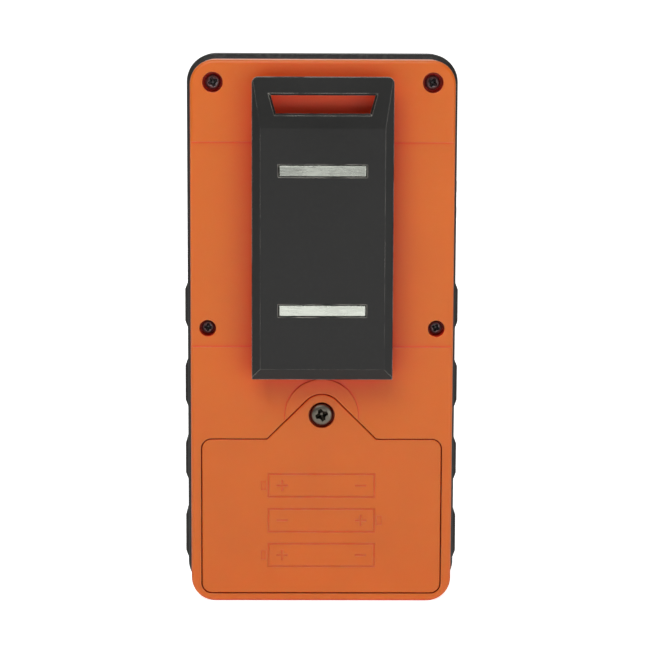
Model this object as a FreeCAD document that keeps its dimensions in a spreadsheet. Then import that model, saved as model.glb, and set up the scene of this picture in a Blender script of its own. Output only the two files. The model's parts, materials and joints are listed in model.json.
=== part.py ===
import FreeCAD, Part
import math
import os
import re
import Sketcher

# Pocket LED work light with a magnetic spring clip on its back.
# +Z runs up the length, +Y points out of the back (clip side), the lamp faces -Y.

os.makedirs("parts", exist_ok=True)
doc = FreeCAD.newDocument("WorkLight")
vec = FreeCAD.Vector

dimensions = {
    # case
    "caseWide": 63.0, "caseTall": 131.0, "caseCorner": 5.8, "caseRim": 0.9,
    "backY": 9.3, "seamY": -2.7, "frontY": -16.7, "wall": 2.0, "gap": 0.35, "doorGap": 0.25,
    "bandLow": 62.5, "bandHigh": 111.6, "bandDeep": 0.28,
    # rubber sleeve and front half
    "gripWide": 65.7, "gripTall": 132.2, "gripCorner": 6.8, "gripEdge": 2.0, "gripFront": 1.4,
    "ridgeProud": 0.65, "ridgeRamp": 2.0,
    "coreWide": 62.7, "coreLow": 1.3, "coreHigh": 130.9, "coreCorner": 5.3,
    "coreFrontY": -16.4, "frontWall": 2.8,
    # lamp window
    "lensHalf": 23.5, "lensLow": 41.0, "lensHigh": 111.0, "lensCorner": 4.0,
    "lensRim": 1.7, "lensThick": 1.4, "cupPitch": 11.0, "cupFront": 4.7, "cupBack": 2.4,
    "ledSide": 2.8, "ledTall": 0.6,
    # battery door
    "doorHalf": 28.85, "doorLow": 2.13, "doorHigh": 39.96, "doorThick": 1.8,
    "doorCorner": 2.3, "tabZ": 45.95, "tabRound": 5.05, "bossRound": 8.8,
    "bossProud": 0.25, "ledgeY": 6.9, "bayHalf": 26.85, "bayLow": 3.9, "bayHigh": 38.0,
    # cells
    "cellRound": 5.25, "cellLong": 44.5, "cellNub": 1.0, "cellNubRound": 2.7,
    "cellY": 1.95, "cellLowZ": 9.4, "cellPitch": 11.3, "contactX": 25.0,
    # fasteners
    "topScrewX": 26.1, "topScrewZ": 125.7, "topBore": 2.43, "topHead": 1.75,
    "midScrewX": 27.4, "midScrewZ": 67.0, "midBore": 2.0, "midHead": 1.5,
    "lowScrewX": 18.0, "lowScrewZ": 15.05, "shank": 1.1,
    # clip
    "clipHalf": 16.7, "clipLow": 55.6, "clipHigh": 127.2, "clipFaceY": 16.7,
    "clipBreakZ": 115.2, "clipThick": 2.0, "clipSkirt": 0.9, "bevelWide": 2.0,
    "hingeY": 11.6, "hingeZ": 110.0, "lugRound": 2.1, "pinRound": 1.25,
    "magnetHalf": 10.3, "magnetTall": 2.7, "magnetHighZ": 105.25, "magnetLowZ": 72.2,
    # buttons
    "powerZ": 24.0, "powerRound": 7.2, "pressTravel": 0.8,
    "sideZ": 96.7, "sideTall": 12.0, "sideY": -9.7, "sideDeep": 4.8,
    # boards
    "boardHalf": 23.4, "driverY": -7.4, "boardThick": 1.2, "ledBoardY": -9.0,
}
sheet = doc.addObject("Spreadsheet::Sheet", "Dims")
for row, (name, amount) in enumerate(dimensions.items(), 1):
    sheet.set(f"A{row}", name)
    sheet.set(f"B{row}", str(amount))
    sheet.setAlias(f"B{row}", name)
doc.recompute()

aliasWord = re.compile(r"\b(" + "|".join(sorted(dimensions, key=len, reverse=True)) + r")\b")


def linked(expression):
    return aliasWord.sub(r"Dims.\1", str(expression))


def size(expression):
    return float(sheet.evalExpression(linked(expression)))


def bind(item, prop, expression):
    item.setExpression(prop, linked(expression))


# Sketches and features.

normalSign = {"XY": 1, "XZ": -1, "YZ": 1}


def newBody(label):
    body = doc.addObject("PartDesign::Body", label)
    body.Label = label
    body.AllowCompound = True
    return body


def newSketch(body, plane, level, name):
    sketch = body.newObject("Sketcher::SketchObject", name)
    role = plane + "_Plane"
    datum = [item for item in body.Origin.OriginFeatures if item.Role == role][0]
    sketch.AttachmentSupport = (datum, [""])
    sketch.MapMode = "FlatFace"
    sign = "-1 * " if plane == "XZ" else ""
    bind(sketch, ".AttachmentOffset.Base.z", f"{sign}({level})")
    return sketch


def fixAlong(sketch, kind, item, point, expression):
    amount = size(expression)
    if abs(amount) < 1e-9:
        axis = -2 if kind == "DistanceX" else -1
        sketch.addConstraint(Sketcher.Constraint("PointOnObject", item, point, axis))
        return
    if amount > 0:
        rule = Sketcher.Constraint(kind, -1, 1, item, point, amount)
        formula = linked(expression)
    else:
        rule = Sketcher.Constraint(kind, item, point, -1, 1, -amount)
        formula = f"-1 * ({linked(expression)})"
    index = sketch.addConstraint(rule)
    sketch.setExpression(f"Constraints[{index}]", formula)


def drawCircle(sketch, across, up, radius):
    centre = vec(size(across), size(up), 0)
    item = sketch.addGeometry(Part.Circle(centre, vec(0, 0, 1), size(radius)))
    fixAlong(sketch, "DistanceX", item, 3, across)
    fixAlong(sketch, "DistanceY", item, 3, up)
    index = sketch.addConstraint(Sketcher.Constraint("Radius", item, size(radius)))
    sketch.setExpression(f"Constraints[{index}]", linked(radius))


def drawOutline(sketch, corners):
    # Anticlockwise corners (across, up), or (across, up, centre) where an arc leaves the corner.
    flat = [vec(size(corner[0]), size(corner[1]), 0) for corner in corners]
    items = []
    for index, corner in enumerate(corners):
        start, end = flat[index], flat[(index + 1) % len(flat)]
        if len(corner) == 3:
            middle = vec(size(corner[2][0]), size(corner[2][1]), 0)
            circle = Part.Circle(middle, vec(0, 0, 1), (start - middle).Length)
            first = math.atan2(start.y - middle.y, start.x - middle.x)
            last = math.atan2(end.y - middle.y, end.x - middle.x)
            if last <= first:
                last += 2 * math.pi
            item = sketch.addGeometry(Part.ArcOfCircle(circle, first, last))
            fixAlong(sketch, "DistanceX", item, 3, corner[2][0])
            fixAlong(sketch, "DistanceY", item, 3, corner[2][1])
        else:
            item = sketch.addGeometry(Part.LineSegment(start, end))
        items.append(item)
    for index, item in enumerate(items):
        following = items[(index + 1) % len(items)]
        sketch.addConstraint(Sketcher.Constraint("Coincident", item, 2, following, 1))
    for index, corner in enumerate(corners):
        previous = corners[index - 1]
        fixAcross = fixUp = True
        if len(previous) == 3:
            across = abs(flat[index].x - size(previous[2][0]))
            up = abs(flat[index].y - size(previous[2][1]))
            fixAcross, fixUp = up > across, up <= across
        if fixAcross:
            fixAlong(sketch, "DistanceX", items[index], 1, corner[0])
        if fixUp:
            fixAlong(sketch, "DistanceY", items[index], 1, corner[1])


def drawBox(sketch, left, right, low, high):
    drawOutline(sketch, [(left, low), (right, low), (right, high), (left, high)])


def drawRounded(sketch, left, right, low, high, round_):
    inner = [f"({left}) + ({round_})", f"({right}) - ({round_})",
             f"({low}) + ({round_})", f"({high}) - ({round_})"]
    west, east, south, north = inner
    drawOutline(sketch, [
        (west, low), (east, low, (east, south)),
        (right, south), (right, north, (east, north)),
        (east, high), (west, high, (west, north)),
        (left, north), (left, south, (west, south)),
    ])


def extrude(kind, body, plane, start, end, draw, name):
    sketch = newSketch(body, plane, start, name + "Sketch")
    draw(sketch)
    doc.recompute()
    feature = body.newObject("PartDesign::" + kind, name)
    feature.Profile = sketch
    bind(feature, "Length", f"abs(({end}) - ({start}))")
    towards = 1 if size(end) > size(start) else -1
    along = towards == normalSign[plane]
    feature.Reversed = not along if kind == "Pad" else along
    body.Tip = feature
    sketch.Visibility = False
    doc.recompute()
    return feature


def pad(body, plane, start, end, draw, name):
    before = body.Shape.Volume if body.Tip and body.Shape and not body.Shape.isNull() else 0
    feature = extrude("Pad", body, plane, start, end, draw, name)
    if body.Shape.Volume <= before + 1e-6:
        print("no material added:", body.Label, name)
    return feature


def pocket(body, plane, start, end, draw, name):
    before = body.Shape.Volume
    feature = extrude("Pocket", body, plane, start, end, draw, name)
    if body.Shape.Volume >= before - 1e-6:
        print("nothing cut:", body.Label, name)
    return feature


def dress(kind, body, test, amount, name):
    edges = [f"Edge{number}" for number, edge in enumerate(body.Shape.Edges, 1) if test(edge)]
    if not edges:
        print("no edge found:", body.Label, name)
        return None
    base = body.Tip
    feature = body.newObject("PartDesign::" + kind, name)
    feature.Base = (base, edges)
    bind(feature, "Radius" if kind == "Fillet" else "Size", amount)
    body.Tip = feature
    doc.recompute()
    return feature


def liesOnY(level, within=None):
    def test(edge):
        box = edge.BoundBox
        flat = abs(box.YMin - level) < 1e-3 and abs(box.YMax - level) < 1e-3
        return flat and (within is None or within(box))
    return test


# Plain solids.

def block(label, west, east, near, far, low, high):
    item = doc.addObject("Part::Box", label)
    item.Label = label
    for prop, start, end, axis in (("Length", west, east, "x"), ("Width", near, far, "y"),
                                   ("Height", low, high, "z")):
        bind(item, prop, f"({end}) - ({start})")
        bind(item, "Placement.Base." + axis, start)
    return item


def rod(label, axis, across, along, up, radius, length):
    item = doc.addObject("Part::Cylinder", label)
    item.Label = label
    turns = {"+X": (vec(0, 1, 0), 90), "-X": (vec(0, 1, 0), -90),
             "+Y": (vec(1, 0, 0), -90), "-Y": (vec(1, 0, 0), 90), "+Z": (vec(0, 0, 1), 0)}
    item.Placement = FreeCAD.Placement(vec(0, 0, 0), FreeCAD.Rotation(*turns[axis]))
    bind(item, "Radius", radius)
    bind(item, "Height", length)
    for letter, place in (("x", across), ("y", along), ("z", up)):
        bind(item, "Placement.Base." + letter, place)
    return item


def joined(kind, label, items):
    result = doc.addObject("Part::" + kind, label)
    result.Label = label
    if kind == "Cut":
        result.Base, result.Tool = items
    elif kind == "Compound":
        result.Links = items
    else:
        result.Shapes = items
    doc.recompute()
    return result


def screw(label, across, headTopY, up, headRound, headTall, length, direction="-Y"):
    # Pan-head screw driven from the back, with a cross recess in its head.
    sign = -1 if direction == "-Y" else 1
    head = rod(label + "Head", direction, across, headTopY, up, headRound, headTall)
    shaftTop = f"({headTopY}) + ({sign}) * ({headTall}) * 0.5"
    shaft = rod(label + "Shaft", direction, across, shaftTop, up, "shank",
                f"({length}) - ({headTall}) * 0.5")
    solid = joined("MultiFuse", label + "Solid", [head, shaft])
    slots = []
    for number, (wide, tall) in enumerate(((1.25, 0.34), (0.34, 1.25))):
        near, far = f"({headTopY}) - ({headTall}) * 0.6", f"({headTopY}) + 0.2"
        slots.append(block(f"{label}Slot{number}", f"({across}) - {wide / 2} * ({headRound}) / 1.1",
                           f"({across}) + {wide / 2} * ({headRound}) / 1.1", near, far,
                           f"({up}) - {tall / 2} * ({headRound}) / 1.1",
                           f"({up}) + {tall / 2} * ({headRound}) / 1.1"))
    cross = joined("MultiFuse", label + "Cross", slots)
    return joined("Cut", label, (solid, cross))


nodes = []


def keep(item):
    nodes.append(item)
    return item


# Rear shell: orange back half with the battery opening and hinge lugs.

def doorOutline(grow):
    side, low, high = f"(doorHalf + {grow})", f"(doorLow - ({grow}))", f"(doorHigh + {grow})"
    corner, round_ = f"(doorCorner + {grow})", f"(tabRound + {grow})"
    tangentX, tangentZ = f"{round_} * 0.70711", f"tabZ + {round_} * 0.70711"
    shoulder = f"tabZ + {round_} * 1.41421 - {high}"
    east, west = f"{side} - {corner}", f"{corner} - {side}"
    south, north = f"{low} + {corner}", f"{high} - {corner}"
    return [
        (west, low), (east, low, (east, south)), (side, south), (side, north, (east, north)),
        (east, high), (shoulder, high),
        (tangentX, tangentZ, ("0", "tabZ")), (f"-1 * {tangentX}", tangentZ),
        (f"-1 * ({shoulder})", high), (west, high, (west, north)),
        (f"-1 * {side}", north), (f"-1 * {side}", south, (west, south)),
    ]


screwSpots = [(f"{side} * topScrewX", "topScrewZ", "topBore") for side in (-1, 1)]
screwSpots += [(f"{side} * midScrewX", "midScrewZ", "midBore") for side in (-1, 1)]


def drawAtScrews(radii):
    def draw(sketch):
        for (across, up, _), radius in zip(screwSpots, radii):
            drawCircle(sketch, across, up, radius)
    return draw


def lugOutline(inner, roundSide):
    # Half-round lug about the hinge pin, its straight end at the level inner.
    low, high, pin = "hingeZ - lugRound", "hingeZ + lugRound", ("hingeY", "hingeZ")
    if roundSide == "out":
        return [(inner, low), ("hingeY", low, pin), ("hingeY", high), (inner, high)]
    return [(inner, high), ("hingeY", high, pin), ("hingeY", low), (inner, low)]


shell = keep(newBody("rear_shell"))
pad(shell, "XZ", "seamY", "backY", lambda sketch: drawRounded(
    sketch, "-caseWide / 2", "caseWide / 2", "0", "caseTall", "caseCorner"), "outside")
dress("Fillet", shell, liesOnY(size("backY")), "caseRim", "rimRound")
pocket(shell, "XZ", "seamY", "backY - wall", lambda sketch: drawRounded(
    sketch, "wall - caseWide / 2", "caseWide / 2 - wall", "wall", "caseTall - wall",
    "caseCorner - wall"), "hollow")
pad(shell, "XZ", "backY - wall + 0.1", "5.2", lambda sketch: drawBox(
    sketch, "wall - caseWide / 2 - 0.2", "caseWide / 2 - wall + 0.2", "wall - 0.2", "42"), "bayFrame")
pad(shell, "XZ", "backY - wall + 0.1", "5.2", lambda sketch: drawBox(
    sketch, "-17", "17", "41.5", "tabZ + bossRound"), "tabFrame")
pad(shell, "XZ", "backY - wall + 0.1", "2.4", lambda sketch: drawCircle(
    sketch, "0", "tabZ", "tabRound + 1.5"), "tabWell")
pad(shell, "XZ", "2.5", "seamY + 0.1", lambda sketch: drawCircle(
    sketch, "0", "tabZ", "4.3"), "insertBoss")
pad(shell, "XZ", "backY - wall + 0.1", "seamY + 0.1",
    drawAtScrews(("3.3", "3.3", "2.8", "2.8")), "screwBosses")
pad(shell, "XZ", "backY - 0.3", "backY + bossProud", lambda sketch: drawCircle(
    sketch, "0", "tabZ", "bossRound"), "raisedBoss")
pocket(shell, "XZ", "backY + 0.5", "backY - bandDeep", lambda sketch: drawBox(
    sketch, "-40", "40", "bandLow", "bandHigh"), "band")
pocket(shell, "XZ", "backY + bossProud + 0.5", "ledgeY",
       lambda sketch: drawOutline(sketch, doorOutline("doorGap")), "doorSeat")
pocket(shell, "XZ", "ledgeY + 0.2", "3.9", lambda sketch: drawCircle(
    sketch, "0", "tabZ", "4.4 + gap"), "tabHole")
pocket(shell, "XZ", "ledgeY + 0.2", "5", lambda sketch: drawBox(
    sketch, "-bayHalf", "bayHalf", "bayLow", "bayHigh"), "bayMouth")
pocket(shell, "XZ", "backY + 0.5", "backY - 3.7",
       drawAtScrews(("topBore", "topBore", "midBore", "midBore")), "screwRecess")
pocket(shell, "XZ", "backY", "seamY - 1", drawAtScrews(("shank + 0.15",) * 4), "screwHoles")
pocket(shell, "XZ", "4.2", "seamY - 1", lambda sketch: drawCircle(
    sketch, "0", "tabZ", "2.3"), "insertBore")
for side, (inner, outer) in {"Right": ("-8.7", "-6"), "Left": ("6", "8.7")}.items():
    pad(shell, "YZ", inner, outer, lambda sketch: drawOutline(
        sketch, lugOutline("backY - 0.8", "out")), "lug" + side)
pocket(shell, "YZ", "-9", "9", lambda sketch: drawCircle(
    sketch, "hingeY", "hingeZ", "pinRound + 0.01"), "pinBore")

# Front shell: dark inner half behind the rubber.

core = keep(newBody("front_shell"))
pad(core, "XZ", "seamY - 0.15", "coreFrontY", lambda sketch: drawRounded(
    sketch, "-coreWide / 2", "coreWide / 2", "coreLow", "coreHigh", "coreCorner"), "outside")
pocket(core, "XZ", "seamY - 0.15", "coreFrontY + frontWall", lambda sketch: drawRounded(
    sketch, "1.8 - coreWide / 2", "coreWide / 2 - 1.8", "coreLow + 1.8", "coreHigh - 1.8",
    "coreCorner - 1.8"), "hollow")
pocket(core, "XZ", "coreFrontY", "coreFrontY + 2", lambda sketch: drawRounded(
    sketch, "-lensHalf", "lensHalf", "lensLow", "lensHigh", "lensCorner"), "lensSeat")
pocket(core, "XZ", "coreFrontY", "coreFrontY + frontWall", lambda sketch: drawRounded(
    sketch, "lensRim - lensHalf", "lensHalf - lensRim", "lensLow + lensRim",
    "lensHigh - lensRim", "lensCorner - lensRim"), "window")
pocket(core, "XZ", "coreFrontY", "coreFrontY + frontWall", lambda sketch: drawCircle(
    sketch, "0", "powerZ", "powerRound + 0.3"), "powerHole")
pocket(core, "YZ", "-40", "-25", lambda sketch: drawRounded(
    sketch, "sideY - sideDeep / 2 - 0.3", "sideY + sideDeep / 2 + 0.3",
    "sideZ - sideTall / 2 - 0.3", "sideZ + sideTall / 2 + 0.3", "1.5"), "sideHole")
pad(core, "XZ", "coreFrontY + frontWall - 0.1", "seamY - 0.15",
    drawAtScrews(("3", "3", "2.6", "2.6")), "screwBosses")


def drawLowBosses(radius):
    def draw(sketch):
        for side in (-1, 1):
            drawCircle(sketch, f"{side} * lowScrewX", "lowScrewZ", radius)
    return draw


pad(core, "XZ", "coreFrontY + frontWall - 0.1", "-5.4", drawLowBosses("2.6"), "lowBosses")
pocket(core, "XZ", "seamY", "coreFrontY + frontWall",
       drawAtScrews(("shank + 0.03",) * 4), "pilotHoles")
pocket(core, "XZ", "seamY", "coreFrontY + frontWall", drawLowBosses("shank + 0.03"), "lowPilots")

# Rubber sleeve with four grip ridges each side.

ridges = [(7.4, 20.3), (27.1, 38.4), (45.4, 57.8), (65.0, 76.8)]


def drawRidges(sketch):
    for low, high in ridges:
        for side in (1, -1):
            root, crest = f"{side} * (gripWide / 2 - 0.4)", f"{side} * (gripWide / 2 + ridgeProud)"
            corners = [(root, f"{low} - 0.6"), (crest, f"{low} + ridgeRamp"),
                       (crest, f"{high} - ridgeRamp"), (root, f"{high} + 0.6")]
            drawOutline(sketch, corners if side == 1 else corners[::-1])


sleeve = keep(newBody("grip_overmould"))
pad(sleeve, "XZ", "seamY - 0.1", "frontY", lambda sketch: drawRounded(
    sketch, "-gripWide / 2", "gripWide / 2", "0", "gripTall", "gripCorner"), "outside")
dress("Fillet", sleeve, liesOnY(size("seamY - 0.1")), "gripEdge", "backRound")
dress("Fillet", sleeve, liesOnY(size("frontY")), "gripFront", "frontRound")
pad(sleeve, "XZ", "seamY - 2.1", "frontY + 2", drawRidges, "ridges")
dress("Fillet", sleeve, lambda edge: abs(abs(edge.BoundBox.XMin) - size("gripWide / 2 + ridgeProud"))
      < 1e-3 and edge.BoundBox.XLength < 1e-3 and edge.BoundBox.ZLength > 2, "0.5", "ridgeEnds")
pocket(sleeve, "XZ", "seamY", "frontY - 1", lambda sketch: drawRounded(
    sketch, "-coreWide / 2", "coreWide / 2", "coreLow", "coreHigh", "coreCorner"), "bore")
pocket(sleeve, "YZ", "-40", "-25", lambda sketch: drawRounded(
    sketch, "sideY - sideDeep / 2 - 0.3", "sideY + sideDeep / 2 + 0.3",
    "sideZ - sideTall / 2 - 0.3", "sideZ + sideTall / 2 + 0.3", "1.5"), "sideHole")

# Lamp: lens, gasket, reflector, LEDs.


def lensOutline(inset):
    return lambda sketch: drawRounded(
        sketch, f"{inset} - lensHalf", f"lensHalf - {inset}", f"lensLow + {inset}",
        f"lensHigh - {inset}", f"lensCorner - {inset}")


lens = keep(newBody("lens_panel"))
pad(lens, "XZ", "coreFrontY + 0.2", "coreFrontY + 0.2 + lensThick", lensOutline(0.2), "plate")

gasket = keep(newBody("lens_gasket"))
pad(gasket, "XZ", "coreFrontY + 0.2 + lensThick", "coreFrontY + 2", lensOutline(0.3), "ring")
pocket(gasket, "XZ", "coreFrontY + 0.2 + lensThick", "coreFrontY + 2", lensOutline("1.6"), "inside")

cupSpots = [(column - 1.5, row - 2.5) for row in range(6) for column in range(4)]
cupMiddle = "(lensLow + lensHigh) / 2"


def cupCentre(column, row):
    return f"{column} * cupPitch", f"{cupMiddle} + {row} * cupPitch"


reflector = keep(newBody("reflector_tray"))
reflectorFront, reflectorBack = "coreFrontY + frontWall + 0.1", "ledBoardY - 0.15"
pad(reflector, "XZ", reflectorFront, reflectorBack, lensOutline(0.1), "plate")


def drawCups(sketch):
    for column, row in cupSpots:
        across, up = cupCentre(column, row)
        drawCircle(sketch, across, up, "cupFront")


cups = pocket(reflector, "XZ", reflectorFront, reflectorBack, drawCups, "cups")
cups.TaperAngle = -math.degrees(math.atan(
    (size("cupFront") - size("cupBack")) / (size(reflectorBack) - size(reflectorFront))))
doc.recompute()

ledBoard = keep(newBody("led_board"))
pad(ledBoard, "XZ", "ledBoardY", "ledBoardY + boardThick", lensOutline(0.1), "plate")


def drawLeds(sketch):
    for column, row in cupSpots:
        across, up = cupCentre(column, row)
        drawBox(sketch, f"{across} - ledSide / 2", f"{across} + ledSide / 2",
                f"{up} - ledSide / 2", f"{up} + ledSide / 2")


ledArray = keep(newBody("led_array"))
pad(ledArray, "XZ", "ledBoardY", "ledBoardY - ledTall", drawLeds, "chips")

# Driver board, its parts and the two switches.

driver = keep(newBody("driver_board"))
pad(driver, "XZ", "driverY", "driverY + boardThick", lambda sketch: drawBox(
    sketch, "-boardHalf", "boardHalf", "10", "110"), "plate")
pad(driver, "XZ", "driverY", "driverY + boardThick", lambda sketch: drawBox(
    sketch, "-27.2", "-boardHalf + 0.5", "sideZ - 6", "sideZ + 6"), "switchTab")
pocket(driver, "XZ", "driverY", "driverY + boardThick", drawLowBosses("3"), "bossHoles")

boardTop = "driverY + boardThick"
chips = [block("chip0", -20, -12, boardTop, f"{boardTop} + 4.2", 92, 100),
         block("chip1", 8, 14, boardTop, f"{boardTop} + 1.4", 96, 102),
         block("chip2", -6, -1, boardTop, f"{boardTop} + 1.2", 84, 88),
         block("chip3", 12, 20, boardTop, f"{boardTop} + 2.2", 76, 80),
         rod("can0", "+Y", -14, boardTop, 80, 3.2, 7),
         rod("can1", "+Y", 6, boardTop, 78, 2.5, 5.5)]
chips += [block(f"small{n}", -20 + 3.4 * n, -18.4 + 3.4 * n, boardTop, f"{boardTop} + 0.7", 61, 61.9)
          for n in range(12)]
keep(joined("Compound", "board_components", chips))

frontSwitch = joined("MultiFuse", "tact_switch_front", [
    block("frontSwitchCase", -3, 3, "driverY - 3.4", "driverY", "powerZ - 3", "powerZ + 3"),
    rod("frontSwitchStem", "-Y", 0, "driverY - 3.3", "powerZ", 1.6, 0.5)])
keep(frontSwitch)
sideSwitch = joined("MultiFuse", "tact_switch_side", [
    block("sideSwitchCase", -26.8, -24, "driverY - 5.4", "driverY", "sideZ - 3", "sideZ + 3"),
    rod("sideSwitchStem", "-X", -26.7, "sideY", "sideZ", 1.3, 0.6)])
keep(sideSwitch)

# Battery tray, cells and contacts.

tray = keep(newBody("battery_tray"))
pad(tray, "XZ", "-5.3", "5.1", lambda sketch: drawRounded(
    sketch, "-26.6", "26.6", "3.2", "39", "1"), "outside")
pocket(tray, "XZ", "5.1", "-3.5", lambda sketch: drawBox(
    sketch, "-25.4", "25.4", "3.9", "37.8"), "hollow")
for number, place in enumerate((-17, -5, 7, 19)):
    pad(tray, "XZ", "-3.6", "-0.9", lambda sketch: drawBox(
        sketch, f"{place} - 2", f"{place}", "3.7", "37.9"), f"cradle{number}")
cellSpots = [f"cellLowZ + {number} * cellPitch" for number in range(3)]


def drawCellWells(sketch):
    for up in cellSpots:
        drawCircle(sketch, "cellY", up, "cellRound + 0.15")


pocket(tray, "YZ", "-25.4", "25.4", drawCellWells, "cellWells")
pocket(tray, "XZ", "-3.5", "-4.8", drawLowBosses("2.1"), "headSeats")
pocket(tray, "XZ", "-3.5", "-5.3", drawLowBosses("shank + 0.2"), "lowHoles")


def drawLeadHoles(sketch):
    drawCircle(sketch, "24.45", cellSpots[0], "0.55")
    drawCircle(sketch, "-24.45", cellSpots[2], "0.55")


pocket(tray, "XZ", "-3.5", "-5.3", drawLeadHoles, "leadHoles")

for number, up in enumerate(cellSpots, 1):
    facing = -1 if number == 2 else 1
    cell = keep(newBody(f"battery_cell_{number}"))
    tip = f"{facing} * (contactX - 0.1)"
    shoulder = f"{facing} * (contactX - 0.1 - cellNub)"
    tail = f"{facing} * (contactX - 0.1 - cellLong)"
    pad(cell, "YZ", tail, shoulder, lambda sketch: drawCircle(
        sketch, "cellY", up, "cellRound"), "can")
    pad(cell, "YZ", f"{shoulder} - {facing} * 0.2", tip, lambda sketch: drawCircle(
        sketch, "cellY", up, "cellNubRound"), "nub")
    dress("Fillet", cell, lambda edge: edge.BoundBox.XLength < 1e-3
          and edge.BoundBox.YLength > 2 * size("cellRound") - 0.1, "0.5", "canRound")


def contactStrip(label, side, first, last):
    west, east = ("contactX", "contactX + 0.3") if side > 0 else ("-contactX - 0.3", "-contactX")
    return block(label, west, east, "-2", "5", f"({cellSpots[first]}) - 4.3",
                 f"({cellSpots[last]}) + 4.3")


keep(joined("Compound", "contact_plates_left", [contactStrip("stripA", 1, 0, 0),
                                                contactStrip("stripB", 1, 1, 2)]))
keep(joined("Compound", "contact_plates_right", [contactStrip("stripC", -1, 0, 1),
                                                 contactStrip("stripD", -1, 2, 2)]))


def wireAlong(points, radius):
    wire = None
    for start, end in zip(points, points[1:]):
        length = (end - start).Length
        stretch = Part.makeCylinder(radius, length, start, end - start)
        wire = stretch if wire is None else wire.fuse(stretch)
    for corner in points[1:-1]:
        wire = wire.fuse(Part.makeSphere(radius, corner))
    return wire.removeSplitter()


def coilShape(pitch, height, radius, wireRadius):
    path = Part.makeHelix(pitch, height, radius)
    start = vec(radius, 0, 0)
    rise = math.atan2(pitch, 2 * math.pi * radius)
    circle = Part.Circle(start, vec(0, math.cos(rise), math.sin(rise)), wireRadius)
    profile = Part.Wire(circle.toShape())
    return Part.Wire(path.Edges).makePipeShell([profile], True, True)


def shaped(label, shape):
    item = doc.addObject("Part::Feature", label)
    item.Label = label
    item.Shape = shape
    return item


springLong = size("2 * contactX - 0.1 - cellLong") - 1.0
for number, up in enumerate(cellSpots):
    facing = 1 if number == 1 else -1
    coil = coilShape(springLong / 4, springLong, 3.0, 0.3)
    tails = [wireAlong([vec(3, 0, level), vec(3, turn, level), vec(2.2, turn * 1.8, level)], 0.3)
             for level, turn in ((0, -1), (springLong, 1))]
    coil = coil.fuse(tails)
    coil.Placement = FreeCAD.Placement(
        vec(facing * (size("contactX") - 0.5), size("cellY"), size(up)),
        FreeCAD.Rotation(vec(0, 1, 0), -90 * facing))
    keep(shaped(f"contact_spring_{number + 1}", coil))

leadPaths = {
    "lead_positive": (1, size(cellSpots[0])),
    "lead_negative": (-1, size(cellSpots[2])),
}
for label, (side, up) in leadPaths.items():
    path = [vec(side * 24.45, -2.2, up), vec(side * 24.45, -5.75, up),
            vec(side * 21.5, -5.75, up + 3), vec(side * 21.5, -5.75, 42.5)]
    keep(shaped(label, wireAlong(path, 0.4)))

# Case screws and threaded insert.

for name, spots, head in (("upper", screwSpots[:2], "topHead"), ("middle", screwSpots[2:], "midHead")):
    pair = [screw(f"{name}Screw{number}", across, "backY - 2.2", up, head, 1.5, 13)
            for number, (across, up, _) in enumerate(spots)]
    keep(joined("Compound", "case_screws_" + name, pair))
keep(joined("Compound", "case_screws_lower", [
    screw(f"lowerScrew{number}", f"{side} * lowScrewX", "-3.55", "lowScrewZ", 1.9, 1.2, 9)
    for number, side in enumerate((-1, 1))]))

insert = keep(newBody("door_insert"))
pad(insert, "XZ", "3.5", "seamY + 0.5", lambda sketch: drawCircle(sketch, "0", "tabZ", "2.3"), "sleeve")
pocket(insert, "XZ", "3.5", "seamY + 0.5", lambda sketch: drawCircle(sketch, "0", "tabZ", "1.55"), "bore")

# Battery door, its seal and captive screw.

door = keep(newBody("battery_door"))
pad(door, "XZ", "backY - doorThick", "backY",
    lambda sketch: drawOutline(sketch, doorOutline("0")), "plate")
dress("Fillet", door, liesOnY(size("backY")), "0.3", "rim")
pad(door, "XZ", "backY - doorThick + 0.2", "4.3", lambda sketch: drawCircle(
    sketch, "0", "tabZ", "4.4"), "tabBoss")
pocket(door, "XZ", "backY", "7.25", lambda sketch: drawCircle(sketch, "0", "tabZ", "3.15"), "headSeat")
pocket(door, "XZ", "7.25", "4", lambda sketch: drawCircle(sketch, "0", "tabZ", "1.65"), "screwHole")


def drawPegs(sketch):
    for west in (-18, 12):
        drawBox(sketch, f"{west}", f"{west} + 6", "4.25", "5.05")


pad(door, "XZ", "backY - doorThick + 0.2", "5.8", drawPegs, "pegs")


def drawDiagram(sketch):
    # Three cell outlines with a nub each, and plus and minus marks inside.
    for number in range(3):
        middle = 11.5 + 8.6 * number
        facing = -1 if number == 1 else 1
        drawBox(sketch, "-13", "13", f"{middle} - 3", f"{middle} + 3")
        drawBox(sketch, "-12.6", "12.6", f"{middle} - 2.6", f"{middle} + 2.6")
        ends = sorted((facing * 13.4, facing * 14.6))
        drawBox(sketch, str(ends[0]), str(ends[1]), f"{middle} - 1.1", f"{middle} + 1.1")
        plus, minus = facing * 9.5, facing * -9.5
        arms = [(plus - 1.3, -0.22), (plus - 0.22, -0.22), (plus - 0.22, -1.3), (plus + 0.22, -1.3),
                (plus + 0.22, -0.22), (plus + 1.3, -0.22), (plus + 1.3, 0.22), (plus + 0.22, 0.22),
                (plus + 0.22, 1.3), (plus - 0.22, 1.3), (plus - 0.22, 0.22), (plus - 1.3, 0.22)]
        drawOutline(sketch, [(str(across), f"{middle} + {up}") for across, up in arms])
        drawBox(sketch, f"{minus} - 1.3", f"{minus} + 1.3", f"{middle} - 0.22", f"{middle} + 0.22")


pocket(door, "XZ", "backY", "backY - 0.2", drawDiagram, "diagram")

seal = keep(newBody("door_seal"))
pad(seal, "XZ", "backY - doorThick", "ledgeY + 0.3", lambda sketch: drawRounded(
    sketch, "-28.25", "28.25", "2.75", "39.3", "1.8"), "ring")
pocket(seal, "XZ", "backY - doorThick", "ledgeY + 0.3", lambda sketch: drawRounded(
    sketch, "-27.35", "27.35", "3.65", "38.4", "1"), "inside")

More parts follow.
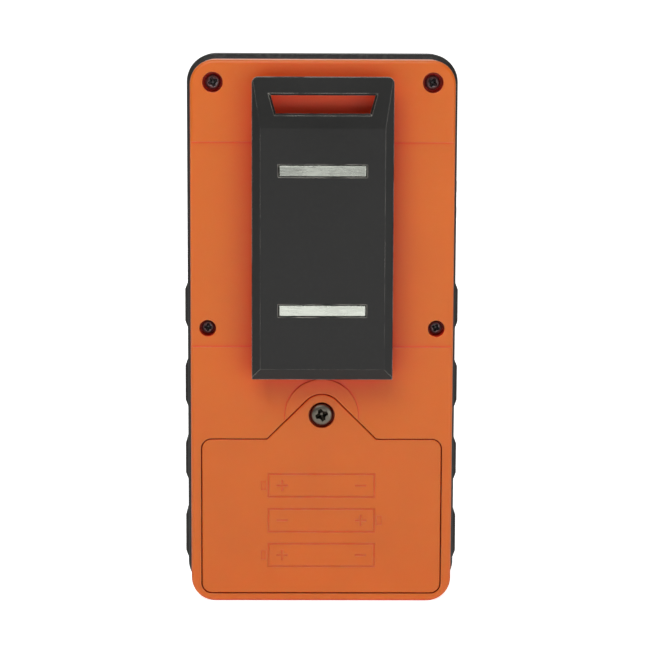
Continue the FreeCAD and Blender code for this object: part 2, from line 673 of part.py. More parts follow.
doorScrew = keep(newBody("door_screw"))
pad(doorScrew, "XZ", "7.25", "9.15", lambda sketch: drawCircle(sketch, "0", "tabZ", "2.75"), "head")
dress("Fillet", doorScrew, lambda edge: abs(edge.BoundBox.YMin - 9.15) < 1e-3, "0.5", "headRound")
pad(doorScrew, "XZ", "7.35", "-2", lambda sketch: drawCircle(sketch, "0", "tabZ", "1.5"), "thread")


def drawCross(sketch):
    long, thin = 1.55, 0.36
    corners = [(-long, -thin), (-thin, -thin), (-thin, -long), (thin, -long), (thin, -thin),
               (long, -thin), (long, thin), (thin, thin), (thin, long), (-thin, long),
               (-thin, thin), (-long, thin)]
    drawOutline(sketch, [(str(across), f"tabZ + {up}") for across, up in corners])


pocket(doorScrew, "XZ", "9.3", "7.9", drawCross, "cross")

# Clip: plate, hinge pin, spring and magnets.

clip = keep(newBody("clip_plate"))
innerY, skirtY = "clipFaceY - clipThick", "clipFaceY - clipThick - clipSkirt"
clipProfile = [(skirtY, "clipLow"), ("clipFaceY - 1.4", "clipLow"),
               ("clipFaceY", "clipLow + 2.6"), ("clipFaceY", "clipBreakZ"),
               ("clipFaceY - 1", "clipHigh"), (skirtY, "clipHigh")]
pad(clip, "YZ", "-clipHalf", "clipHalf", lambda sketch: drawOutline(sketch, clipProfile), "plate")
pocket(clip, "XZ", skirtY, innerY, lambda sketch: drawBox(
    sketch, "1.4 - clipHalf", "clipHalf - 1.4", "clipLow + 3.6", "clipHigh - 4"), "underside")


def drawBevels(sketch):
    for side in (1, -1):
        inner, outer = f"{side} * (clipHalf - bevelWide)", f"{side} * (clipHalf + 1)"
        corners = [(inner, "clipFaceY"), (outer, "clipFaceY - 1.65"), (outer, "clipFaceY + 1"),
                   (inner, "clipFaceY + 1")]
        drawOutline(sketch, corners if side == 1 else corners[::-1])


pocket(clip, "XY", "clipHigh + 1", "clipLow - 1", drawBevels, "sideBevels")
dress("Fillet", clip, lambda edge: edge.BoundBox.YLength > 1 and edge.BoundBox.XLength < 1e-3
      and edge.BoundBox.ZMin > size("clipHigh") - 0.1, "1.5", "topCorners")
pad(clip, "XZ", f"{skirtY} + 0.3", "backY + gap", lambda sketch: drawBox(
    sketch, "1.5 - clipHalf", "clipHalf - 1.5", "clipLow + 0.6", "clipLow + 3.8"), "toe")
dress("Fillet", clip, liesOnY(size("backY + gap")), "1", "toeRound")
for side, (inner, outer) in {"Right": ("-11.4", "-9"), "Left": ("9", "11.4")}.items():
    pad(clip, "YZ", inner, outer, lambda sketch: drawOutline(
        sketch, lugOutline(f"{innerY} + 0.1", "in")), "ear" + side)


def magnetBoxes(half, grow):
    def draw(sketch):
        for middle in ("magnetHighZ", "magnetLowZ"):
            drawBox(sketch, f"-1 * ({half})", half, f"{middle} - magnetTall / 2 - {grow}",
                    f"{middle} + magnetTall / 2 + {grow}")
    return draw


pad(clip, "XZ", f"{innerY} + 0.1", "clipFaceY - 3.1", magnetBoxes("magnetHalf + 1.4", 1.3), "magnetBacks")
pocket(clip, "XZ", "clipFaceY", "clipFaceY - 2.5", magnetBoxes("magnetHalf + 0.15", 0.12), "magnetSeats")
pocket(clip, "YZ", "-12", "12", lambda sketch: drawCircle(
    sketch, "hingeY", "hingeZ", "pinRound + 0.05"), "pinBore")
slot = [("-11.05", "118.65"), ("11.05", "118.65"), ("12.25", "122.87"), ("-12.25", "122.87")]
pocket(clip, "XZ", "clipFaceY + 1", "clipFaceY - 4", lambda sketch: drawOutline(sketch, slot), "slot")


def slotRim(edge):
    box = edge.BoundBox
    outside = box.YMin > size("clipFaceY") - 0.9
    inSlot = box.ZMin > 118.4 and box.ZMax < 123.1 and abs(box.XMax) < 12.4 and abs(box.XMin) < 12.4
    return outside and inSlot


dress("Chamfer", clip, slotRim, "0.5", "slotRim")

keep(rod("clip_pin", "+X", -11.8, "hingeY", "hingeZ", "pinRound", 23.6))

for name, middle in (("upper", "magnetHighZ"), ("lower", "magnetLowZ")):
    magnet = keep(newBody("magnet_" + name))
    pad(magnet, "XZ", "clipFaceY - 2.1", "clipFaceY - 0.08", lambda sketch: drawBox(
        sketch, "-magnetHalf", "magnetHalf", f"{middle} - magnetTall / 2",
        f"{middle} + magnetTall / 2"), "bar")
    dress("Chamfer", magnet, liesOnY(size("clipFaceY - 0.08")), "0.2", "edge")
keep(joined("Compound", "magnet_keepers", [
    block(f"keeper{number}", "-magnetHalf", "magnetHalf", "clipFaceY - 2.5", "clipFaceY - 2.1",
          f"{middle} - magnetTall / 2", f"{middle} + magnetTall / 2")
    for number, middle in enumerate(("magnetHighZ", "magnetLowZ"))]))

coilLong, coilTurns, coilRound, wireRound = 10.2, 10, 1.75, 0.35
coil = coilShape(coilLong / coilTurns, coilLong, coilRound, wireRound)
coil.Placement = FreeCAD.Placement(vec(-coilLong / 2, size("hingeY"), size("hingeZ")),
                                   FreeCAD.Rotation(vec(0, 1, 0), 90))
hingeY, hingeZ = size("hingeY"), size("hingeZ")
shellLeg = wireAlong([vec(-coilLong / 2, hingeY, hingeZ - coilRound),
                      vec(-coilLong / 2, 9.5, hingeZ - 3.4), vec(-coilLong / 2, 9.5, 98)], wireRound)
clipLeg = wireAlong([vec(coilLong / 2, hingeY, hingeZ - coilRound),
                     vec(coilLong / 2, hingeY + 1.6, hingeZ - 0.8),
                     vec(coilLong / 2, hingeY + 2.6, hingeZ + 2.5),
                     vec(coilLong / 2, hingeY + 2.6, hingeZ + 6.5)], wireRound)
keep(shaped("clip_spring", coil.fuse([shellLeg, clipLeg])))

# Buttons.

power = keep(newBody("power_button"))
pad(power, "XZ", "frontY + 0.1", "coreFrontY + frontWall + 0.4", lambda sketch: drawCircle(
    sketch, "0", "powerZ", "powerRound"), "cap")
dress("Fillet", power, liesOnY(size("frontY + 0.1")), "0.6", "capRound")
pad(power, "XZ", "coreFrontY + frontWall + 0.3", "coreFrontY + frontWall + 1.2",
    lambda sketch: drawCircle(sketch, "0", "powerZ", "powerRound + 1.3"), "flange")
pad(power, "XZ", "coreFrontY + frontWall + 1", "driverY - 3.8 - 0.3 - pressTravel",
    lambda sketch: drawCircle(sketch, "0", "powerZ", "2"), "stem")

sideButton = keep(newBody("side_button"))
pad(sideButton, "YZ", "-gripWide / 2", "-29", lambda sketch: drawRounded(
    sketch, "sideY - sideDeep / 2", "sideY + sideDeep / 2", "sideZ - sideTall / 2",
    "sideZ + sideTall / 2", "1.3"), "cap")
pad(sideButton, "YZ", "-29.2", "-28.5", lambda sketch: drawRounded(
    sketch, "sideY - sideDeep / 2 - 0.9", "sideY + sideDeep / 2 + 0.9",
    "sideZ - sideTall / 2 - 1", "sideZ + sideTall / 2 + 1", "1.5"), "flange")
for number, middle in enumerate(("sideZ - 3.1", "sideZ + 3.2")):
    pad(sideButton, "YZ", "-gripWide / 2 + 0.1", "-gripWide / 2 - 0.25", lambda sketch: drawBox(
        sketch, "sideY - sideDeep / 2 + 0.6", "sideY + sideDeep / 2 - 0.6",
        f"{middle} - 1.3", f"{middle} + 1.3"), f"rib{number}")

# Check and write.

doc.recompute()
faults = [item.Label for item in doc.Objects
          if any(word in item.State for word in ("Invalid", "Error"))]
for item in nodes:
    if item.Shape.isNull() or not item.Shape.isValid():
        faults.append(item.Label + " shape")
print("nodes", len(nodes), "faults", faults)
if faults:
    raise SystemExit("the model has faults")
for item in nodes:
    item.Shape.exportStep(f"parts/{item.Label}.step")
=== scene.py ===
import bpy
import bmesh
import json
import math
from mathutils import Matrix, Vector


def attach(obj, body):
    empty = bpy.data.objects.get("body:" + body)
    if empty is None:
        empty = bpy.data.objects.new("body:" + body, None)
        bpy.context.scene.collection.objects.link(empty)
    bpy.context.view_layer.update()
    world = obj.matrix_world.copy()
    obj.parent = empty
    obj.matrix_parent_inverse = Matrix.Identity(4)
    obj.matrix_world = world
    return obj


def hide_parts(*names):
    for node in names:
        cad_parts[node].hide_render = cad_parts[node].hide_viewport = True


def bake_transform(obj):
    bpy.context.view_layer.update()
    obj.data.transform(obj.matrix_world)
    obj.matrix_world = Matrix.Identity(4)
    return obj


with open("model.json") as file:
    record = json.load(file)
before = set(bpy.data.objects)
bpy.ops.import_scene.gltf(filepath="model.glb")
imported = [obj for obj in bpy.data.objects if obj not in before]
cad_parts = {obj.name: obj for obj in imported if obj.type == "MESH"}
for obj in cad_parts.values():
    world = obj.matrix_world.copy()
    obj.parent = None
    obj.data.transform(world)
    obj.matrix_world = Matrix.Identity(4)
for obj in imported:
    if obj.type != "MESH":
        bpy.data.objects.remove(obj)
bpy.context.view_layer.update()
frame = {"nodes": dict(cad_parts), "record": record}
nodes = frame["nodes"]
mm = 0.001
sharpAngle = math.radians(38)


# small helpers for building node trees

def addNode(tree, kind, settings=None, **inputs):
    made = tree.nodes.new(kind)
    for name, value in (settings or {}).items():
        setattr(made, name, value)
    for name, value in inputs.items():
        plug(tree, made, name.replace("_", " "), value)
    return made


def plug(tree, target, name, value):
    # n0, n1 and so on stand for a socket's number, where two sockets share a name
    socket = target.inputs[int(name[1:])] if name[:1] == "n" and name[1:].isdigit() else target.inputs[name]
    if isinstance(value, bpy.types.NodeSocket):
        tree.links.new(value, socket)
    else:
        socket.default_value = value


def maths(tree, operation, first, second=0.0, clamp=False):
    settings = {"operation": operation, "use_clamp": clamp}
    return addNode(tree, "ShaderNodeMath", settings, n0=first, n1=second).outputs[0]


def mixColour(tree, amount, first, second):
    # inputs 6 and 7 are the two colours of a mix node, output 2 its colour
    return addNode(tree, "ShaderNodeMix", {"data_type": "RGBA"}, n0=amount, n6=first, n7=second).outputs[2]


def stretch(tree, value, low, high, toLow=0.0, toHigh=1.0):
    return addNode(tree, "ShaderNodeMapRange", n0=value, n1=low, n2=high, n3=toLow, n4=toHigh).outputs[0]


def newGroup(name, inputs, outputs):
    group = bpy.data.node_groups.new(name, "ShaderNodeTree")
    for label, kind, value in inputs:
        socket = group.interface.new_socket(label, in_out="INPUT", socket_type=kind)
        socket.default_value = value
    for label, kind in outputs:
        group.interface.new_socket(label, in_out="OUTPUT", socket_type=kind)
    return group, addNode(group, "NodeGroupInput"), addNode(group, "NodeGroupOutput")


def useGroup(tree, group, **inputs):
    return addNode(tree, "ShaderNodeGroup", {"node_tree": group}, **inputs)


# surface effects that more than one material shares

def makeGrainGroup():
    group, given, result = newGroup(
        "mouldGrain", [("Scale", "NodeSocketFloat", 1800.0), ("Blotch Scale", "NodeSocketFloat", 45.0)],
        [("Height", "NodeSocketFloat"), ("Blotch", "NodeSocketFloat")])
    place = addNode(group, "ShaderNodeTexCoord").outputs["Object"]
    fine = addNode(group, "ShaderNodeTexNoise", Vector=place, Scale=given.outputs["Scale"], Detail=2.0)
    pits = addNode(group, "ShaderNodeTexVoronoi", {"feature": "SMOOTH_F1"}, Vector=place,
                   Scale=maths(group, "MULTIPLY", given.outputs["Scale"], 0.55))
    height = maths(group, "ADD", maths(group, "MULTIPLY", fine.outputs[0], 0.6),
                   maths(group, "MULTIPLY", pits.outputs["Distance"], 0.5))
    blotch = addNode(group, "ShaderNodeTexNoise", Vector=place, Scale=given.outputs["Blotch Scale"],
                     Detail=4.0)
    plug(group, result, "Height", height)
    plug(group, result, "Blotch", blotch.outputs[0])
    return group


# the edge mask is partly worn edges and partly painted highlight: a light colour along sharp edges and
# chamfers
def makeEdgeGroup():
    group, given, result = newGroup(
        "softEdges", [("Radius", "NodeSocketFloat", 0.0003), ("Rub", "NodeSocketFloat", 220.0)],
        [("Normal", "NodeSocketVector"), ("Wear", "NodeSocketFloat")])
    rounded = addNode(group, "ShaderNodeBevel", {"samples": 6}, Radius=given.outputs["Radius"])
    true = addNode(group, "ShaderNodeNewGeometry").outputs["Normal"]
    facing = addNode(group, "ShaderNodeVectorMath", {"operation": "DOT_PRODUCT"},
                     n0=rounded.outputs[0], n1=true).outputs["Value"]
    corner = stretch(group, facing, 0.965, 0.90)
    place = addNode(group, "ShaderNodeTexCoord").outputs["Object"]
    rub = addNode(group, "ShaderNodeTexNoise", Vector=place, Scale=given.outputs["Rub"], Detail=3.0)
    wear = maths(group, "MULTIPLY", corner, stretch(group, rub.outputs[0], 0.34, 0.56), clamp=True)
    plug(group, result, "Normal", rounded.outputs[0])
    plug(group, result, "Wear", wear)
    return group


def makeDustGroup():
    group, given, result = newGroup(
        "settledDust", [("Amount", "NodeSocketFloat", 0.15)], [("Mask", "NodeSocketFloat")])
    place = addNode(group, "ShaderNodeTexCoord").outputs["Object"]
    normal = addNode(group, "ShaderNodeNewGeometry").outputs["Normal"]
    up = addNode(group, "ShaderNodeSeparateXYZ", Vector=normal).outputs["Z"]
    specks = addNode(group, "ShaderNodeTexNoise", Vector=place, Scale=900.0, Detail=6.0)
    drift = addNode(group, "ShaderNodeTexNoise", Vector=place, Scale=60.0, Detail=3.0)
    lay = maths(group, "ADD", stretch(group, up, 0.3, 1.0, 0.12, 1.0),
                stretch(group, drift.outputs[0], 0.45, 0.75, 0.0, 0.25))
    mask = maths(group, "MULTIPLY", stretch(group, specks.outputs[0], 0.5, 0.7),
                 maths(group, "MULTIPLY", lay, given.outputs["Amount"]), clamp=True)
    plug(group, result, "Mask", mask)
    return group


def makeBrushGroup():
    group, given, result = newGroup(
        "brushLines", [("Scale", "NodeSocketFloat", 400.0), ("Along", "NodeSocketVector", (1.0, 12.0, 12.0))],
        [("Height", "NodeSocketFloat"), ("Tone", "NodeSocketFloat")])
    place = addNode(group, "ShaderNodeTexCoord").outputs["Object"]
    drawn = addNode(group, "ShaderNodeVectorMath", {"operation": "MULTIPLY"}, n0=place,
                    n1=given.outputs["Along"]).outputs["Vector"]
    lines = addNode(group, "ShaderNodeTexNoise", Vector=drawn, Scale=given.outputs["Scale"], Detail=3.0)
    stains = addNode(group, "ShaderNodeTexNoise", Vector=place, Scale=160.0, Detail=4.0)
    plug(group, result, "Height", lines.outputs[0])
    plug(group, result, "Tone", maths(group, "MULTIPLY", lines.outputs[0], stains.outputs[0]))
    return group


def makePaintedShadeGroup():
    # how deep in a gap or under an overhang the surface lies, as a mask for painted shade there, faded out
    # below the height High; the second mask is for darker painted shade in the deepest bores
    group, given, result = newGroup(
        "hollows", [("Reach", "NodeSocketFloat", 0.008), ("Low", "NodeSocketFloat", 0.004),
                    ("High", "NodeSocketFloat", 0.014)],
        [("Mask", "NodeSocketFloat"), ("Deep", "NodeSocketFloat")])
    shade = addNode(group, "ShaderNodeAmbientOcclusion", {"samples": 8}, Distance=given.outputs["Reach"])
    place = addNode(group, "ShaderNodeTexCoord").outputs["Object"]
    up = addNode(group, "ShaderNodeSeparateXYZ", Vector=place).outputs["Z"]
    mask = maths(group, "MULTIPLY", stretch(group, shade.outputs["AO"], 0.97, 0.45),
                 stretch(group, up, given.outputs["Low"], given.outputs["High"]))
    plug(group, result, "Mask", mask)
    plug(group, result, "Deep", stretch(group, shade.outputs["AO"], 0.32, 0.08))
    return group


grainGroup, edgeGroup, hollowGroup = makeGrainGroup(), makeEdgeGroup(), makePaintedShadeGroup()
dustGroup, brushGroup = makeDustGroup(), makeBrushGroup()


def rgba(colour, factor=1.0):
    # sRGB 0-255 to linear
    linear = [((value / 255 + 0.055) / 1.055) ** 2.4 if value > 10 else value / 3294 for value in colour]
    return tuple(min(1.0, value * factor) for value in linear) + (1.0,)


def newMaterial(name):
    material = bpy.data.materials.new(name)
    material.use_nodes = True
    tree = material.node_tree
    tree.nodes.clear()
    shader = addNode(tree, "ShaderNodeBsdfPrincipled")
    output = addNode(tree, "ShaderNodeOutputMaterial")
    tree.links.new(shader.outputs[0], output.inputs[0])
    return material, tree, shader


def mouldedPlastic(name, colour, look):
    # look: edge and reach are in millimetres, depth is the strength of the grain
    material, tree, shader = newMaterial(name)
    grain = useGroup(tree, grainGroup, Scale=look["grain"], Blotch_Scale=look.get("blotchScale", 45.0))
    edges = useGroup(tree, edgeGroup, Radius=look["edge"] * mm)
    dust = useGroup(tree, dustGroup, Amount=look["dust"])
    shade = stretch(tree, grain.outputs["Blotch"], 0.3, 0.7)
    base = mixColour(tree, shade, rgba(colour, 1 - look["blotch"]), rgba(colour, 1 + look["blotch"]))
    wornAndHighlit = mixColour(tree, maths(tree, "MULTIPLY", edges.outputs["Wear"], look["wear"]), base,
                     rgba(look.get("wearAndHighlightColour", [min(255, value + 55) for value in colour])))
    dustAndPaintedShade = mixColour(tree, dust.outputs["Mask"], wornAndHighlit, rgba(look.get("dustColour", (170, 160, 150))))
    # painted shade: the colour turns red where the occlusion mask is high, and dark red-brown in deep bores
    if "hollow" in look:
        hollow = useGroup(tree, hollowGroup, Reach=look["reach"] * mm)
        paintedShadeAmount = maths(tree, "MULTIPLY", hollow.outputs["Mask"], look["paintedShadeAmount"])
        dustAndPaintedShade = mixColour(tree, paintedShadeAmount, dustAndPaintedShade, rgba(look["hollow"]))
        dustAndPaintedShade = mixColour(tree, hollow.outputs["Deep"], dustAndPaintedShade, rgba(look["deep"]))
    plug(tree, shader, "Base Color", dustAndPaintedShade)
    rough = stretch(tree, grain.outputs["Blotch"], 0.3, 0.7, look["rough"] - 0.05, look["rough"] + 0.05)
    dull = maths(tree, "MULTIPLY", dust.outputs["Mask"], 0.3)
    plug(tree, shader, "Roughness", maths(tree, "ADD", rough, dull))
    bump = addNode(tree, "ShaderNodeBump", Strength=look["depth"], Distance=0.00006,
                   Height=grain.outputs["Height"], Normal=edges.outputs["Normal"])
    plug(tree, shader, "Normal", bump.outputs[0])
    shader.inputs["Specular IOR Level"].default_value = look.get("spec", 0.5)
    if "glow" in look:
        shader.inputs["Subsurface Weight"].default_value = look["glow"]
        shader.inputs["Subsurface Radius"].default_value = (0.0035, 0.0006, 0.0002)
        shader.inputs["Subsurface Scale"].default_value = 1.0
    return material


def workedMetal(name, colour, look):
    material, tree, shader = newMaterial(name)
    brush = useGroup(tree, brushGroup, Scale=look["scale"], Along=look["along"])
    edges = useGroup(tree, edgeGroup, Radius=look["edge"] * mm)
    tone = stretch(tree, brush.outputs["Tone"], 0.12, 0.4)
    base = mixColour(tree, tone, rgba(colour, 1 - look["stain"]), rgba(colour, 1 + look["stain"]))
    wornAndHighlit = mixColour(tree, maths(tree, "MULTIPLY", edges.outputs["Wear"], look["wear"]), base,
                     rgba(look.get("wearAndHighlightColour", (205, 203, 198))))
    # painted shade: near-black colour where the occlusion mask is high, in recesses and around screw heads
    if "hollow" in look:
        hollow = useGroup(tree, hollowGroup, Reach=look["reach"] * mm, Low=-1.0, High=-0.9)
        wornAndHighlit = mixColour(tree, hollow.outputs["Mask"], wornAndHighlit, rgba(look["hollow"]))
    plug(tree, shader, "Base Color", wornAndHighlit)
    plug(tree, shader, "Roughness", stretch(tree, tone, 0.0, 1.0, look["rough"] - 0.06, look["rough"] + 0.08))
    bump = addNode(tree, "ShaderNodeBump", Strength=look["depth"], Distance=0.00003,
                   Height=brush.outputs["Height"], Normal=edges.outputs["Normal"])
    plug(tree, shader, "Normal", bump.outputs[0])
    shader.inputs["Metallic"].default_value = look.get("metal", 1.0)
    return material


def clearPlastic(name, colour, look):
    material, tree, shader = newMaterial(name)
    grain = useGroup(tree, grainGroup, Scale=look["grain"])
    tint = mixColour(tree, grain.outputs["Blotch"], rgba(colour, 0.97), rgba(colour))
    plug(tree, shader, "Base Color", tint)
    plug(tree, shader, "Roughness", stretch(tree, grain.outputs["Blotch"], 0.3, 0.7, 0.05, 0.12))
    bump = addNode(tree, "ShaderNodeBump", Strength=look["depth"], Distance=0.00004,
                   Height=grain.outputs["Height"])
    plug(tree, shader, "Normal", bump.outputs[0])
    shader.inputs["Transmission Weight"].default_value = 1.0
    shader.inputs["IOR"].default_value = 1.49
    return material


def boardMaterial(name, colour, trace):
    material, tree, shader = newMaterial(name)
    place = addNode(tree, "ShaderNodeTexCoord").outputs["Object"]
    tracks = addNode(tree, "ShaderNodeTexBrick", Vector=place, Scale=260.0, Mortar_Size=0.03)
    tracks.inputs["Color1"].default_value = rgba(colour)
    tracks.inputs["Color2"].default_value = rgba(colour, 0.82)
    tracks.inputs["Mortar"].default_value = rgba(trace)
    plug(tree, shader, "Base Color", tracks.outputs["Color"])
    haze = addNode(tree, "ShaderNodeTexNoise", Vector=place, Scale=300.0)
    plug(tree, shader, "Roughness", stretch(tree, haze.outputs[0], 0.3, 0.7, 0.25, 0.4))
    bump = addNode(tree, "ShaderNodeBump", Strength=0.4, Distance=0.00004, Height=tracks.outputs["Fac"])
    plug(tree, shader, "Normal", bump.outputs[0])
    return material


# the last four entries are painted shade: red in gaps and under the clip, dark red-brown in deep bores, and
# how far and how strongly it reaches
orangeLook = {"grain": 2400.0, "depth": 0.22, "blotch": 0.035, "rough": 0.42, "edge": 0.35, "wear": 0.35,
              "wearAndHighlightColour": (238, 160, 118), "dust": 0.05, "dustColour": (226, 190, 170), "glow": 0.35,
              "hollow": (250, 50, 16), "deep": (196, 36, 16), "reach": 11.0, "paintedShadeAmount": 0.9}
darkLook = {"grain": 2000.0, "depth": 0.3, "blotch": 0.10, "rough": 0.45, "edge": 0.25, "wear": 0.4,
            "dust": 0.12}
rubberLook = {"grain": 1500.0, "depth": 0.35, "blotch": 0.12, "rough": 0.62, "edge": 0.4, "wear": 0.25,
              "dust": 0.30, "dustColour": (120, 118, 114)}
# the clip's light edge colour is painted highlight along its edges and slot rim, as well as wear
clipLook = {"grain": 1700.0, "depth": 0.5, "blotch": 0.08, "rough": 0.40, "edge": 0.4, "wear": 0.8,
            "wearAndHighlightColour": (196, 192, 182), "dust": 0.10, "dustColour": (90, 90, 88), "spec": 0.4}
keyLook = {"grain": 1600.0, "depth": 0.3, "blotch": 0.1, "rough": 0.55, "edge": 0.3, "wear": 0.3,
           "dust": 0.15}
nickelLook = {"scale": 300.0, "along": (1.0, 9.0, 9.0), "edge": 0.15, "stain": 0.08, "wear": 0.4,
              "rough": 0.28, "depth": 0.25}
# in the black and steel looks the near-black colour and its reach at the end are painted shade in recesses
blackLook = {"scale": 900.0, "along": (2.0, 2.0, 2.0), "edge": 0.12, "stain": 0.45, "wear": 0.9,
             "rough": 0.32, "depth": 0.6, "metal": 0.7, "wearAndHighlightColour": (176, 182, 186),
             "hollow": (10, 10, 11), "reach": 0.5}
steelLook = {"scale": 700.0, "along": (1.0, 3.0, 6.0), "edge": 0.14, "stain": 0.2, "wear": 0.5,
             "rough": 0.34, "depth": 0.5, "hollow": (12, 11, 10), "reach": 0.8, "wearAndHighlightColour": (168, 160, 146)}

finishes = {
    "orange_shell": mouldedPlastic("orangeCase", (226, 111, 28), orangeLook),
    # the door gets about half as much painted shade as the case
    "orange_door": mouldedPlastic("orangeDoor", (226, 111, 30),
                                  dict(orangeLook, blotchScale=60.0, paintedShadeAmount=0.45)),
    "dark_shell": mouldedPlastic("darkCore", (34, 34, 34), darkLook),
    "rubber": mouldedPlastic("sleeveRubber", (36, 35, 33), rubberLook),
    "seal_rubber": mouldedPlastic("sealRubber", (26, 26, 26), dict(rubberLook, dust=0.05)),
    "clear_lens": clearPlastic("clearWindow", (246, 249, 250), {"grain": 700.0, "depth": 0.12}),
    "reflector": workedMetal("metallisedCups", (214, 214, 218), dict(nickelLook, rough=0.16, stain=0.04)),
    "led_board": boardMaterial("whiteBoard", (232, 232, 226), (200, 200, 192)),
    "led": mouldedPlastic("ledPackage", (228, 224, 210), dict(keyLook, dust=0.0, rough=0.35)),
    "phosphor": mouldedPlastic("phosphorGel", (238, 196, 60), dict(keyLook, dust=0.0, rough=0.3)),
    "circuit_board": boardMaterial("greenBoard", (18, 78, 40), (96, 140, 84)),
    "chips": mouldedPlastic("chipPackages", (30, 30, 32), dict(darkLook, edge=0.08)),
    "switches": mouldedPlastic("switchCases", (40, 40, 44), dict(darkLook, edge=0.08)),
    "tray": mouldedPlastic("trayPlastic", (36, 36, 36), darkLook),
    "cell": mouldedPlastic("cellSleeve", (44, 66, 96), dict(keyLook, rough=0.3, dust=0.02)),
    "contacts": workedMetal("platedContacts", (206, 196, 170), nickelLook),
    "lead_red": mouldedPlastic("redLead", (168, 30, 26), dict(keyLook, dust=0.02)),
    "lead_black": mouldedPlastic("blackLead", (24, 24, 24), dict(keyLook, dust=0.02)),
    "black_screws": workedMetal("blackOxide", (108, 108, 110), blackLook),
    "steel_screw": workedMetal("zincSteel", (120, 115, 104), dict(steelLook, reach=0.5)),
    "brass": workedMetal("turnedBrass", (196, 160, 90), steelLook),
    "clip_plastic": mouldedPlastic("clipPlastic", (31, 31, 30), clipLook),
    "pin_steel": workedMetal("groundPin", (170, 170, 168), steelLook),
    "spring_steel": workedMetal("springWire", (110, 108, 104), steelLook),
    "magnet": workedMetal("nickelMagnet", (206, 210, 200), dict(nickelLook, rough=0.26)),
    "keeper_steel": workedMetal("keeperSteel", (140, 138, 134), steelLook),
    "button": mouldedPlastic("keyRubber", (48, 48, 48), keyLook),
}
for part in frame["record"]["subparts"]:
    mesh = nodes[part["node"]].data
    mesh.materials.clear()
    mesh.materials.append(finishes[part["material_slot"]])
print("finishes set on", len(nodes), "nodes")

# shapes built here from outlines and turned profiles

def plainMesh(name, corners, faces, bands=None):
    shape = bmesh.new()
    made = [shape.verts.new([value * mm for value in corner]) for corner in corners]
    for number, face in enumerate(faces):
        side = shape.faces.new([made[index] for index in face])
        side.smooth = True
        side.material_index = bands[number] if bands else 0
    bmesh.ops.recalc_face_normals(shape, faces=shape.faces)
    mesh = bpy.data.meshes.new(name)
    shape.to_mesh(mesh)
    shape.free()
    mesh.set_sharp_from_angle(angle=sharpAngle)
    return mesh


def turned(name, profile, sides=40, materials=None):
    # profile: (radius, along Y) pairs in mm; materials: one index for each step of the profile
    corners, rings, faces, bands = [], [], [], []
    for radius, along in profile:
        count = sides if radius else 1
        rings.append(range(len(corners), len(corners) + count))
        for step in range(count):
            turn = 2 * math.pi * step / sides
            corners.append((radius * math.cos(turn), along, radius * math.sin(turn)))
    for number, (first, second) in enumerate(zip(rings, rings[1:])):
        for step in range(sides):
            near, far = step, (step + 1) % sides
            loop = [first[near if len(first) > 1 else 0], second[near if len(second) > 1 else 0]]
            loop += [second[far]] if len(second) > 1 else []
            loop += [first[far]] if len(first) > 1 else []
            faces.append(loop)
            bands.append(materials[number] if materials else 0)
    return plainMesh(name, corners, faces, bands)


def stacked(name, outline, layers):
    # outline(inset) gives (x, z) corners; layers are (y, inset) from one end to the other
    corners, faces = [], []
    for along, inset in layers:
        corners += [(across, along, up) for across, up in outline(inset)]
    count = len(corners) // len(layers)
    for level in range(len(layers) - 1):
        for step in range(count):
            near, far = level * count + step, level * count + (step + 1) % count
            faces.append((near, far, far + count, near + count))
    faces += [list(range(count)), list(range(len(corners) - count, len(corners)))]
    return plainMesh(name, corners, faces)


def roundedOutline(wide, tall, corner, middle=(0.0, 0.0), steps=8):
    def outline(inset):
        half, high, bend = wide / 2 - inset, tall / 2 - inset, max(corner - inset, 0.02)
        found = []
        for quarter, (sideways, upward) in enumerate(((1, 1), (-1, 1), (-1, -1), (1, -1))):
            for step in range(steps + 1):
                turn = math.radians(90 * quarter + 90 * step / steps)
                found.append((middle[0] + sideways * (half - bend) + bend * math.cos(turn),
                              middle[1] + upward * (high - bend) + bend * math.sin(turn)))
        return found
    return outline


def crossOutline(arm, thin, middle=(0.0, 0.0)):
    def outline(inset):
        long, slim = arm * (1 - inset), thin * (1 - 0.5 * inset)
        near = slim * 1.6
        found = [(long, -slim), (long, slim), (near, near), (slim, long), (-slim, long), (-near, near),
                 (-long, slim), (-long, -slim), (-near, -near), (-slim, -long), (slim, -long), (near, -near)]
        return [(middle[0] + across, middle[1] + up) for across, up in found]
    return outline


def newObject(name, data):
    made = bpy.data.objects.new(name, data)
    bpy.context.scene.collection.objects.link(made)
    return made


def shift(spot):
    return Matrix.Translation(Vector(spot) * mm)


def takeMesh(holder):
    mesh = holder.data
    bpy.data.objects.remove(holder)
    return mesh


def settled(worker, name):
    # one plain mesh of what the worker's modifier makes
    seen = worker.evaluated_get(bpy.context.evaluated_depsgraph_get())
    mesh = bpy.data.meshes.new_from_object(seen)
    mesh.name = name
    bpy.data.objects.remove(worker)
    return newObject(name, mesh)


def merged(name, meshes):
    # meshes: (mesh, matrix or None) pairs
    shape = bmesh.new()
    for mesh, matrix in meshes:
        piece = mesh.copy()
        if matrix is not None:
            piece.transform(matrix)
        shape.from_mesh(piece)
        bpy.data.meshes.remove(piece)
    joined = bpy.data.meshes.new(name)
    shape.to_mesh(joined)
    shape.free()
    joined.set_sharp_from_angle(angle=sharpAngle)
    return joined


def finishPiece(piece, body, slotName, replaced=(), materials=None):
    piece.data.materials.clear()
    for material in materials or [finishes[slotName]]:
        piece.data.materials.append(material)
    if body:
        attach(piece, body)
    if replaced:
        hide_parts(*replaced)
    return piece


def cutBy(mesh, cutter, name):
    block, tool = newObject(name + "Block", mesh), newObject(name + "Tool", cutter)
    cut = block.modifiers.new("cut", "BOOLEAN")
    cut.object, cut.operation, cut.solver = tool, "DIFFERENCE", "EXACT"
    bpy.context.view_layer.update()
    result = settled(block, name)
    bpy.data.objects.remove(tool)
    result.data.set_sharp_from_angle(angle=sharpAngle)
    return result


